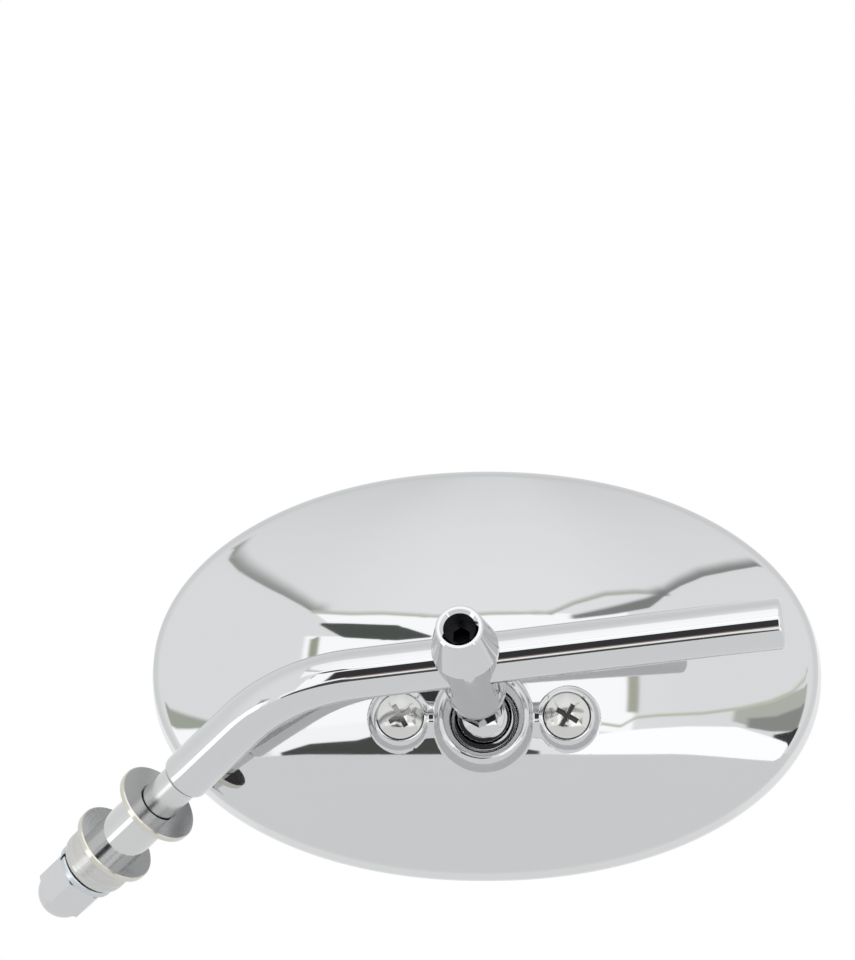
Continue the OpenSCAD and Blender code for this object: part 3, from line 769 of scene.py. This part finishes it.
class MIRROR_OT_stem(bpy.types.Operator):
    """Bent rod with its rounded shoulder and shank"""

    bl_idname = "mirror.stem"
    bl_label = "Stem"

    def execute(self, context):
        sizes = context.scene.mirror_stem
        finish = context.scene.mirror_finish
        path = stem_path(sizes)
        data = bpy.data.curves.new("stem_path", "CURVE")
        data.dimensions = "3D"
        spline = data.splines.new("POLY")
        spline.points.add(len(path) - 1)
        for point, (place, radius) in zip(spline.points, path):
            point.co = (*place, 1.0)
            point.radius = radius
        curve = bpy.data.objects.new("stem_path", data)
        context.scene.collection.objects.link(curve)
        chrome = stem_material(finish, shoulder_place(sizes))
        stem = with_nodes(curve, sweep_group(),
                          {"Sides": sizes.sides, "Finish": chrome}, "stem_rod")
        finish_mesh(stem, chrome, 40)
        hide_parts("stem")
        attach(stem, "stem")
        return {"FINISHED"}


def stem_material(finish, shoulder):
    """Bright chrome on the rod, satin below the shoulder."""
    material, tree, shader = new_material("stem chrome", 1.0)
    rings = place_group(tree, turning_group(), Axis=SHANK_DIR, Pitch=SHANK_PITCH,
                        Depth=SHANK_GROOVE)
    satin = ramp_node(tree, rings["Along"], shoulder + SATIN_ENDS, shoulder - SATIN_FULL)
    tint = mix_colours(tree, satin, finish.chrome, finish.satin)
    rough = ramp_node(tree, satin, 0.0, 1.0, finish.chrome_rough, finish.satin_rough, False)
    plate(tree, shader, tint, rough, 0.03, 0.004)
    return material


# Fasteners

COLLAR_SIDES = 128
# Gap in the collar's bore, its upper edge's bevel, and the place of the first ring
BORE_GAP, COLLAR_BEVEL, FIRST_RING = 0.00008, 0.0003, 0.0004
# A ring's half width and its flat top's, against the pitch and the half width
RING_HALF, RING_FLAT = 0.36, 0.35
# How deep a ring's foot is sunk, and how far its top stays inside the collar
RING_SUNK, RING_INSIDE = 0.0001, 0.00001


def ring_group():
    """Geometry nodes that repeat a turned ring along the shank's direction."""
    tree, inside, outside = new_group(
        "turned_rings", "GeometryNodeTree",
        [("Ring", "Geometry", None), ("Count", "Int", 6),
         ("Step", "Vector", (0.0, 0.0, 0.001)),
         ("Finish", "Material", None)],
        [("Geometry", "Geometry")])
    given = inside.outputs
    line = new_node(tree, "GeometryNodeMeshLine",
                    {"Count": given["Count"], "Offset": given["Step"]})
    copies = new_node(tree, "GeometryNodeInstanceOnPoints",
                      {"Points": line.outputs["Mesh"], "Instance": given["Ring"]})
    finish_tree(tree, copies.outputs["Instances"], given["Finish"], outside)
    return tree


class MIRROR_OT_collar(bpy.types.Operator):
    """Turned collar with fine rings and a rounded lower edge"""

    bl_idname = "mirror.collar"
    bl_label = "Collar"

    def execute(self, context):
        sizes = context.scene.mirror_stem
        finish = context.scene.mirror_finish
        low, high = spread("collar", SHANK_DIR)
        # Darker groove colour: painted shade in the collar's turned grooves
        metal = turned("collar chrome", finish.satin, finish.collar_groove_shade, 0.15, Vector(),
                       SHANK_DIR, 0.00043, 0.000004)
        bore = sizes.shank_radius + BORE_GAP
        body = sizes.collar_radius - sizes.ring_depth
        r = sizes.collar_round
        profile = [(bore, high), (bore, low)]
        for angle in np.linspace(0, math.pi / 2, 11):
            profile.append((body - r + r * math.sin(angle), low + r - r * math.cos(angle)))
        profile += [(body, high - COLLAR_BEVEL), (body - COLLAR_BEVEL, high)]
        vertices, faces = lathe(profile, Vector(), SHANK_DIR, COLLAR_SIDES)
        collar = add_object("collar_body", vertices, [f[::-1] for f in faces], metal)
        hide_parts("collar")
        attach(collar, "mount_stack")
        # One ring, repeated along the collar
        first = low + r + FIRST_RING
        half = sizes.ring_pitch * RING_HALF
        foot, outer = body - RING_SUNK, sizes.collar_radius - RING_INSIDE
        profile = [(foot, first - half), (body, first - half),
                   (outer, first - half * RING_FLAT), (outer, first + half * RING_FLAT),
                   (body, first + half), (foot, first + half)]
        vertices, faces = lathe(profile, Vector(), SHANK_DIR, COLLAR_SIDES)
        ring = add_object("collar_ring", vertices, faces, metal)
        rings = with_nodes(ring, ring_group(),
                           {"Count": sizes.ring_count, "Step": SHANK_DIR * sizes.ring_pitch,
                            "Finish": metal}, "collar_rings")
        finish_mesh(rings, metal, 30)
        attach(rings, "mount_stack")
        return {"FINISHED"}


class MIRROR_OT_fasteners(bpy.types.Operator):
    """Finishes of the washers, the sleeve, the lock washers and the nut"""

    bl_idname = "mirror.fasteners"
    bl_label = "Fasteners"

    def execute(self, context):
        finish = context.scene.mirror_finish
        washer_r = reach("washer_upper", SHANK_DIR)
        # Darker groove colour: painted shade in the washers' turned grooves
        washer = turned("washer steel", finish.washer, finish.washer_groove_shade, 0.13,
                        Vector(), SHANK_DIR, 0.0006, 0.000004,
                        edge=(finish.bronze, washer_r - 0.0006, washer_r - 0.0001))
        for node in ("washer_upper", "washer_lower"):
            dress(node, washer)
        dress("spacer_sleeve", turned("sleeve chrome", finish.chrome, finish.satin, 0.07,
                                      Vector(), SHANK_DIR, 0.0009, 0.000001))
        zinc = polished("zinc plate", finish.zinc, finish.zinc_rough, 0.12, 0.05)
        dress("stem_lock_washer", zinc)
        dress("stud_lock_washer", zinc)
        dress("acorn_nut", polished("nut chrome", finish.chrome, 0.06, 0.06, 0.01))
        return {"FINISHED"}


class MIRROR_OT_joint(bpy.types.Operator):
    """Finishes of the clamp, the stud, the screws and the pieces inside"""

    bl_idname = "mirror.joint"
    bl_label = "Ball joint"

    def execute(self, context):
        finish = context.scene.mirror_finish
        for node, name, tint, rough, marks, peel in (
                ("clamp_body", "clamp chrome", finish.chrome, 0.045, 0.05, 0.01),
                ("ball_stud", "stud chrome", finish.chrome, 0.05, 0.05, 0.008),
                ("set_screw", "black oxide", finish.black, 0.35, 0.1, 0.1)):
            dress(node, polished(name, tint, rough, marks, peel))
        # Darker groove colour: painted shade in the screw heads' turned grooves
        for node, middle in (("screw_left", SCREW_LEFT), ("screw_right", SCREW_RIGHT)):
            dress(node, turned(node.replace("_", " ") + " steel", finish.steel,
                               finish.screw_groove_shade, 0.12, middle, GLASS_DIR,
                               0.0005, 0.000003))
        inner = turned("pressed steel", finish.zinc, finish.steel, 0.3, BALL_POS,
                       GLASS_DIR, 0.001, 0.00001)
        for node in ("pressure_cup", "spring_washer", "retainer_plate"):
            dress(node, inner)
        dress("ball_liner", soft_material("moulded liner", finish.liner, 0.45, 700.0,
                                          0.00003))
        return {"FINISHED"}


# Stage

# What hangs in the light tent, as seen from the mirror with azimuth 0 towards the camera:
# stations of (azimuth, lower elevation, upper elevation) in degrees, the softness of the
# lower and upper edges and of the ends, and a brightness for red, green and blue
SEAM = [(-55.4, 49.2), (-53.8, 45.0), (-49.8, 41.6), (-43.5, 37.2), (-38.3, 33.4),
        (-34.3, 29.8), (-31.5, 26.8), (-25.0, 26.5), (-19.0, 27.1), (-9.0, 26.4),
        (0.0, 27.9), (8.2, 27.9), (10.6, 27.4), (15.0, 31.5), (21.1, 34.9), (27.0, 35.2),
        (32.1, 34.1), (35.8, 37.4), (40.9, 40.4), (46.9, 41.7), (52.7, 42.5)]
LOWER_SEAM = [(18.9, -19.4), (22.3, -20.1), (24.8, -16.0), (28.4, -14.5), (35.6, -12.4),
              (41.5, -9.3), (45.8, -6.0), (49.0, -2.2), (52.0, 5.2)]


def above(line, heights):
    """Stations from a line up to a height above it that changes along the azimuth."""
    at, up = zip(*heights)
    return [(a, e, e + float(np.interp(a, at, up))) for a, e in line]


def below(line, floor_at):
    """Stations from a level up to a line."""
    return [(a, floor_at, e) for a, e in line]


TENT_BANDS = [
    # White window between the roof's seam and the floor
    (below([s for s in SEAM if -32 < s[0] < 11] + [(15, 27), (24, 30)], -22.0),
     (1.0, 0.6, 0.8), (1.42, 1.42, 1.43)),
    # Flap of the left panel, folded over the window's edge
    ([(-34.0, 17.1, 27.0), (-31.6, 17.1, 26.8), (-28.4, 17.1, 22.1), (-25.7, 17.1, 17.6)],
     (0.3, 0.4, 0.3), (1.05, 1.05, 1.05)),
    # Soft shade over the seam, darker towards the two sides
    (above(SEAM[:7], [(-56, 0.2), (-44, 0.5), (-31, 0.1)]), (0.5, 5.5, 3.5),
     (0.42, 0.43, 0.41)),
    (above(SEAM[6:13], [(-31, 0.1), (10, 0.1)]), (0.9, 1.8, 1.0), (0.70, 0.73, 0.63)),
    (above(SEAM[12:17], [(10, 0.2), (33, 0.4)]), (0.8, 2.2, 1.0), (0.62, 0.64, 0.58)),
    (above(SEAM[16:], [(32, 0.4), (46, 0.5), (53, 0.0)]), (0.5, 4.2, 3.5),
     (0.34, 0.35, 0.34)),
    ([(15.0, 25.2, 26.0), (22.0, 26.8, 29.0), (28.5, 29.0, 32.0), (32.0, 33.8, 34.4)],
     (0.6, 1.8, 1.5), (0.30, 0.31, 0.30)),
    # Dark opening to the left of the clamp
    ([(-29.6, 21.6, 22.3), (-25.5, 16.7, 22.4), (-16.2, 15.6, 22.1), (-10.4, 17.2, 17.8)],
     (0.35, 0.35, 0.4), (0.11, 0.12, 0.11)),
    # Opening for the camera, warm at its lower edge
    ([(-17.0, -19.0, -12.0), (4.0, -19.0, -12.0)], (3.0, 2.0, 3.0), (0.36, 0.26, 0.22)),
    ([(-17.0, -14.5, 11.5), (4.0, -14.5, 11.5)], (2.0, 0.8, 2.5), (0.05, 0.05, 0.055)),
    # Stands at the window's two sides
    ([(23.6, -13.0, 7.5), (24.6, -13.0, 7.5)], (1.5, 1.5, 0.9), (0.55, 0.55, 0.46)),
    ([(-30.6, 8.0, 15.5), (-29.8, 8.0, 16.6)], (1.5, 0.6, 0.7), (0.45, 0.47, 0.36)),
    # Seam and shades low on the right
    ([(41.0, -14.0, -9.8), (46.0, -16.2, -6.4), (51.8, -15.0, 1.0)],
     (0.8, 0.6, 1.0), (0.62, 0.64, 0.57)),
    ([(43.5, -15.8, -13.0), (47.0, -16.2, -11.5), (51.6, -14.4, -6.0)],
     (0.6, 1.2, 1.2), (0.36, 0.37, 0.35)),
    (above(LOWER_SEAM, [(18, 0.2), (52, 0.3)]), (0.7, 1.2, 0.8), (0.72, 0.75, 0.62)),
    # White card low on the right with a dark corner
    ([(14.0, -40.0, -26.0), (25.9, -40.0, -20.6), (33.4, -40.0, -18.0), (41.4, -38.0, -16.4),
      (46.0, -34.0, -18.4), (51.5, -29.0, -20.4)], (0.5, 0.5, 0.7), (1.5, 1.5, 1.51)),
    ([(47.6, -18.6, -17.6), (50.6, -20.2, -15.2), (53.5, -23.0, -14.4)],
     (0.3, 0.3, 0.5), (0.06, 0.06, 0.06)),
    # White and dark cards low on the left
    ([(-38.0, -27.5, -20.5), (-10.0, -27.0, -18.0)], (0.8, 2.0, 2.0), (1.35, 1.35, 1.36)),
    ([(-37.0, -40.0, -27.2), (-31.8, -40.0, -25.2), (-23.6, -40.0, -25.6),
      (-20.2, -42.0, -24.2), (-10.5, -42.0, -22.6), (-6.0, -42.0, -26.0),
      (3.0, -42.0, -30.5), (8.0, -40.0, -32.0)], (0.35, 0.5, 0.6), (0.09, 0.095, 0.088)),
    # Left end
    ([(-54.5, -12.6, -5.5), (-50.5, -14.0, -10.2), (-47.0, -14.4, -13.4)],
     (0.4, 2.0, 0.8), (0.50, 0.53, 0.46)),
    ([(-55.0, -22.0, -14.0), (-47.0, -24.0, -15.6)], (1.5, 0.6, 2.0), (1.4, 1.4, 1.41)),
]


# Azimuths and elevations that a band's curves cover, as the lowest and the span
ACROSS, UPWARDS = (-70.0, 140.0), (-60.0, 150.0)


def curve_node(tree, azimuth, stations):
    """Elevation along the azimuth, from (azimuth, elevation) stations."""
    node = tree.nodes.new("ShaderNodeFloatCurve")
    points = node.mapping.curves[0].points
    at = [((a - ACROSS[0]) / ACROSS[1], (e - UPWARDS[0]) / UPWARDS[1]) for a, e in stations]
    for point, (x, y) in zip((points[0], points[-1]), (at[0], at[-1])):
        point.location = (x, y)
    for x, y in at[1:-1]:
        points.new(x, y)
    for point in points:
        point.handle_type = "VECTOR"
    node.mapping.extend = "HORIZONTAL"
    node.mapping.update()
    part = ramp_node(tree, azimuth, ACROSS[0], sum(ACROSS), smooth=False)
    feed(tree, node, {"Value": part})
    return math_node(tree, "MULTIPLY_ADD", node.outputs["Value"], *reversed(UPWARDS))


def band_mask(tree, azimuth, elevation, stations, soft):
    """One inside a band, fading at its lower and upper edges and its ends."""
    lower, upper = (curve_node(tree, azimuth, [(s[0], s[edge]) for s in stations])
                    for edge in (1, 2))
    fades = ((math_node(tree, "SUBTRACT", elevation, lower), soft[0]),
             (math_node(tree, "SUBTRACT", upper, elevation), soft[1]),
             (math_node(tree, "SUBTRACT", azimuth, stations[0][0]), soft[2]),
             (math_node(tree, "SUBTRACT", stations[-1][0], azimuth), soft[2]))
    fades = [ramp_node(tree, inside, -width, 0.0) for inside, width in fades]
    return reduce(lambda mask, fade: math_node(tree, "MULTIPLY", mask, fade), fades)


# Where the roof brightens, in degrees of elevation, where the sides dim, in degrees of
# azimuth, and where the back does, as the share of a direction that points to the camera
ROOF_SPAN, SIDE_SPAN, BACK_SPAN = (30, 90), (8, 40), (-0.2, 0.5)


def tent_world(studio):
    """Light tent with its seams, cards and openings, plain white to the camera."""
    world = bpy.data.worlds.new("light tent")
    bpy.context.scene.world = world
    world.use_nodes = True
    tree = world.node_tree
    tree.nodes.clear()
    direction = tree.nodes.new("ShaderNodeTexCoord").outputs["Generated"]
    axes = new_node(tree, "ShaderNodeSeparateXYZ", {"Vector": direction})
    degrees = 180 / math.pi
    elevation = math_node(tree, "MULTIPLY",
                          math_node(tree, "ARCSINE", axes.outputs["Z"]), degrees)
    ahead = math_node(tree, "MULTIPLY", axes.outputs["Y"], -1.0)
    azimuth = math_node(tree, "MULTIPLY",
                        math_node(tree, "ARCTAN2", axes.outputs["X"], ahead), degrees)
    brightness = ramp_node(tree, elevation, *ROOF_SPAN, studio.roof, studio.roof_top)
    sides = ramp_node(tree, math_node(tree, "ABSOLUTE", azimuth), *SIDE_SPAN, 1.0,
                      studio.flanks)
    behind = ramp_node(tree, ahead, *BACK_SPAN, studio.back, 1.0)
    brightness = math_node(tree, "MULTIPLY", brightness,
                           math_node(tree, "MULTIPLY", sides, behind))
    colour_now = vector_node(tree, "SCALE", (0.995, 1.0, 1.002), scale=brightness)
    for stations, soft, tone in TENT_BANDS:
        mask = band_mask(tree, azimuth, elevation, stations, soft)
        colour_now = mix_colours(tree, mask, colour_now, tone)
    lit = new_node(tree, "ShaderNodeBackground", {"Color": colour_now})
    plain = new_node(tree, "ShaderNodeBackground", {"Color": (1.0, 1.0, 1.0, 1.0)})
    choose = new_node(tree, "ShaderNodeMixShader",
                      {0: camera_ray(tree), 1: lit.outputs[0], 2: plain.outputs[0]})
    new_node(tree, "ShaderNodeOutputWorld", {"Surface": choose.outputs[0]})


# Width of the table's soft edge, and the spread of the floor's tone and its waves per metre
TABLE_FADE = 0.01
FLOOR_SHADE, FLOOR_WAVES = 0.985, 6.0


def floor_material(studio):
    """Pale floor that the chrome mirrors only as far as a table would reach."""
    material, tree, shader = new_material("pale floor")
    place = object_place(tree)
    shade = tuple(FLOOR_SHADE * channel for channel in studio.floor_colour)
    speck = noise_node(tree, place, FLOOR_WAVES, 2.0)
    feed(tree, shader, {"Base Color": mix_colours(tree, speck, shade, studio.floor_colour),
                        "Roughness": 0.9, "Specular IOR Level": 0.1})
    axes = new_node(tree, "ShaderNodeSeparateXYZ", {"Vector": place})
    front = math_node(tree, "SUBTRACT", BALL_POS.y - studio.table_depth, axes.outputs["Y"])
    sideways = math_node(tree, "ABSOLUTE", math_node(tree, "SUBTRACT", axes.outputs["X"],
                                                     BALL_POS.x))
    side = math_node(tree, "SUBTRACT", sideways, studio.table_half)
    corner = ramp_node(tree, sideways, studio.table_straight, studio.table_half, 0.0,
                       studio.table_corner)
    front = math_node(tree, "ADD", front, corner)
    far_off = ramp_node(tree, math_node(tree, "MAXIMUM", front, side), 0.0, TABLE_FADE)
    hidden = math_node(tree, "MULTIPLY",
                       math_node(tree, "SUBTRACT", 1.0, camera_ray(tree)), far_off)
    clear = tree.nodes.new("ShaderNodeBsdfTransparent")
    choose = new_node(tree, "ShaderNodeMixShader",
                      {0: hidden, 1: shader.outputs[0], 2: clear.outputs[0]})
    result = next(n for n in tree.nodes if n.bl_idname == "ShaderNodeOutputMaterial")
    feed(tree, result, {"Surface": choose.outputs[0]})
    return material


# Soft boxes: size in metres, azimuth and elevation in degrees
STRIPS = {"strip_over_rod": ((1.3, 0.95), -14, 44), "strip_beside_shank": ((0.9, 0.34), -71, -21)}
STRIP_AIM, STRIP_DISTANCE = Vector((0.05, -0.03, 0.03)), 1.3


def look_at(obj, aim):
    """Turns a lamp or a camera towards a point."""
    obj.rotation_euler = (aim - obj.location).to_track_quat("-Z", "Y").to_euler()


def strip_lights(studio):
    """Soft boxes that only the stem and its fasteners mirror."""
    lit = bpy.data.collections.new("lit by the strips")
    for name in ("stem_rod", "collar_body", "collar_rings"):
        lit.objects.link(bpy.data.objects[name])
    for node in ("spacer_sleeve", "washer_upper", "washer_lower", "stem_lock_washer",
                 "clamp_body"):
        lit.objects.link(frame["nodes"][node])
    for (name, (size, azimuth, elevation)), power in zip(
            STRIPS.items(), (studio.strip, studio.side_strip)):
        light = bpy.data.lights.new(name, "AREA")
        light.energy = power
        light.shape = "RECTANGLE"
        light.size, light.size_y = size
        lamp = bpy.data.objects.new(name, light)
        across, up = math.radians(azimuth), math.radians(elevation)
        lamp.location = STRIP_AIM + STRIP_DISTANCE * Vector(
            (math.sin(across) * math.cos(up), -math.cos(across) * math.cos(up), math.sin(up)))
        look_at(lamp, STRIP_AIM)
        bpy.context.scene.collection.objects.link(lamp)
        lamp.light_linking.receiver_collection = lit


class MIRROR_OT_stage(bpy.types.Operator):
    """Pale floor, light tent, soft boxes and camera"""

    bl_idname = "mirror.stage"
    bl_label = "Stage"

    def execute(self, context):
        scene = context.scene
        studio = scene.mirror_studio
        scene.view_settings.view_transform = "Standard"
        tent_world(studio)
        half, height = studio.floor_half, studio.floor_height
        floor = add_object(
            "floor", [(-half, -half, height), (half, -half, height), (half, half, height),
                      (-half, half, height)], [(0, 1, 2, 3)], floor_material(studio))
        strip_lights(studio)
        data = bpy.data.cameras.new("camera")
        data.sensor_fit = "HORIZONTAL"
        data.sensor_width = 36.0
        data.lens = studio.lens
        data.clip_start = 0.05
        camera = bpy.data.objects.new("camera", data)
        camera.location = studio.camera_place
        look_at(camera, Vector(studio.camera_aim))
        scene.collection.objects.link(camera)
        scene.camera = camera
        return {"FINISHED"}


class MIRROR_PT_panel(bpy.types.Panel):
    """Lists the pieces of the mirror"""

    bl_idname = "MIRROR_PT_panel"
    bl_label = "Mirror"
    bl_space_type = "VIEW_3D"
    bl_region_type = "UI"
    bl_category = "Mirror"

    def draw(self, context):
        for operator in OPERATORS:
            self.layout.operator(operator.bl_idname)


GROUPS = {"mirror_head": MirrorHead, "mirror_stem": MirrorStem,
          "mirror_finish": MirrorFinish, "mirror_studio": MirrorStudio}
OPERATORS = (MIRROR_OT_housing, MIRROR_OT_glass, MIRROR_OT_stem, MIRROR_OT_collar,
             MIRROR_OT_fasteners, MIRROR_OT_joint, MIRROR_OT_stage)


def register():
    for name, group in GROUPS.items():
        bpy.utils.register_class(group)
        setattr(bpy.types.Scene, name, PointerProperty(type=group))
    for item in (*OPERATORS, MIRROR_PT_panel):
        bpy.utils.register_class(item)


def unregister():
    for item in (MIRROR_PT_panel, *reversed(OPERATORS)):
        bpy.utils.unregister_class(item)
    for name, group in reversed(list(GROUPS.items())):
        delattr(bpy.types.Scene, name)
        bpy.utils.unregister_class(group)


def main():
    """Builds every piece and the stage."""
    register()
    for operator in OPERATORS:
        family, name = operator.bl_idname.split(".")
        getattr(getattr(bpy.ops, family), name)()


if __name__ == "__main__":
    main()
